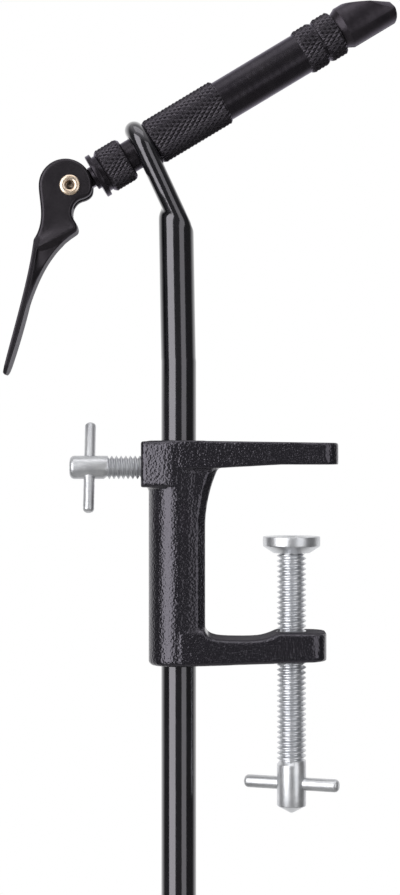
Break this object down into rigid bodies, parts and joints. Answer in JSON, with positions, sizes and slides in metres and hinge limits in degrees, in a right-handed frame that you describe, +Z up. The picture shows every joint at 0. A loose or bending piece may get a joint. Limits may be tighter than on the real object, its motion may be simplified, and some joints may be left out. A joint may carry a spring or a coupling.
{
  "type": "fly tying vise",
  "caption": "Table-clamp fly tying vise: bent stem with a tilted knurled barrel, split collet jaws, adjusting collar and eccentric cam lever.",
  "frame": {"origin": "on the flat underside of the upper clamp arm, on the clamp screw's axis", "axes": "+X from the stem towards the jaws, +Y across the vise, +Z up along the stem"},
  "size_m": [0.1066, 0.019, 0.2478],
  "materials": {
    "hammered_enamel": "black hammered stoving enamel on a casting",
    "gloss_enamel": "gloss black enamel on steel rod",
    "black_oxide": "turned steel, blackened",
    "zinc_plate": "bright zinc plate on turned steel",
    "bright_steel": "bare bright steel",
    "rivet_brass": "pale rolled brass",
    "black_plastic": "moulded, matt"
  },
  "bodies": {
    "clamp": {"clamp_frame": "hammered_enamel"},
    "pad": {"pressure_pad": "zinc_plate"},
    "clamp_screw": {"clamp_screw": "zinc_plate", "clamp_screw_bar": "zinc_plate"},
    "lock_pad": {"lock_pad": "rivet_brass"},
    "lock_screw": {"lock_screw": "zinc_plate", "lock_screw_bar": "zinc_plate"},
    "stem_foot": {"stem_foot_cap": "black_plastic"},
    "stem": {"stem": "gloss_enamel", "eye_set_screw": "bright_steel"},
    "barrel": {"barrel": "black_oxide", "collet_key_pin": "bright_steel", "return_spring": "bright_steel"},
    "thrust_washer": {"thrust_washer": "black_oxide"},
    "adjusting_collar": {"adjusting_collar": "black_oxide"},
    "draw_rod": {"draw_rod": "black_oxide"},
    "jaw_near": {"jaw_near": "black_oxide"},
    "jaw_far": {"jaw_far": "black_oxide"},
    "lever": {"cam_lever": "black_oxide", "pivot_pin": "rivet_brass"}
  },
  "joints": [
    {"name": "pad_travel", "type": "slide", "parent": "clamp", "child": "pad", "axis": [0, 0, 1], "range_m": [-0.0205, 0.0184]},
    {"name": "clamp_screw_turn", "type": "hinge", "parent": "pad", "child": "clamp_screw", "pos_m": [0, 0, -0.05], "axis": [0, 0, 1], "range_deg": [-5220, 4680]},
    {"name": "lock_pad_travel", "type": "slide", "parent": "clamp", "child": "lock_pad", "axis": [1, 0, 0], "range_m": [-0.00255, 0]},
    {"name": "lock_screw_turn", "type": "hinge", "parent": "lock_pad", "child": "lock_screw", "pos_m": [-0.05, 0, -0.0008], "axis": [1, 0, 0], "range_deg": [-720, 0]},
    {"name": "stem_height", "type": "slide", "parent": "clamp", "child": "stem_foot", "axis": [0, 0, 1], "range_m": [-0.02, 0.06]},
    {"name": "stem_swivel", "type": "hinge", "parent": "stem_foot", "child": "stem", "pos_m": [-0.0307, 0, 0], "axis": [0, 0, 1], "continuous": true},
    {"name": "barrel_turn", "type": "hinge", "parent": "stem", "child": "barrel", "pos_m": [-0.04007, 0, 0.0861], "axis": [0.8572, 0, 0.515], "continuous": true},
    {"name": "washer_travel", "type": "slide", "parent": "barrel", "child": "thrust_washer", "axis": [0.8572, 0, 0.515], "range_m": [0, 0.00121]},
    {"name": "collar_turn", "type": "hinge", "parent": "thrust_washer", "child": "adjusting_collar", "pos_m": [-0.04778, 0, 0.08146], "axis": [0.8572, 0, 0.515], "range_deg": [0, 432]},
    {"name": "collet_draw", "type": "slide", "parent": "barrel", "child": "draw_rod", "axis": [-0.8572, 0, -0.515], "range_m": [0, 0.00182], "deforming": ["return_spring"]},
    {"name": "lever_swing", "type": "hinge", "parent": "draw_rod", "child": "lever", "pos_m": [-0.0601, 0, 0.07546], "axis": [0, 1, 0], "range_deg": [0, 100]},
    {"name": "jaw_near_close", "type": "hinge", "parent": "draw_rod", "child": "jaw_near", "pos_m": [-0.0135, -0.0023, 0.10207], "axis": [-0.515, 0, 0.8572], "range_deg": [0, 0.56]},
    {"name": "jaw_far_close", "type": "hinge", "parent": "draw_rod", "child": "jaw_far", "pos_m": [-0.0135, 0.0023, 0.10207], "axis": [0.515, 0, -0.8572], "range_deg": [0, 0.56]}
  ],
  "couplings": [
    {"joint": "pad_travel", "follows": "clamp_screw_turn", "m_per_rad": 0.00022459},
    {"joint": "lock_pad_travel", "follows": "lock_screw_turn", "m_per_rad": 0.00020213},
    {"joint": "washer_travel", "follows": "collar_turn", "m_per_rad": 0.00015915},
    {"joint": "collet_draw", "follows": "lever_swing", "m_per_rad": 0.0010404},
    {"joint": "jaw_near_close", "follows": "lever_swing", "ratio": 0.0055},
    {"joint": "jaw_far_close", "follows": "lever_swing", "ratio": 0.0055}
  ]
}
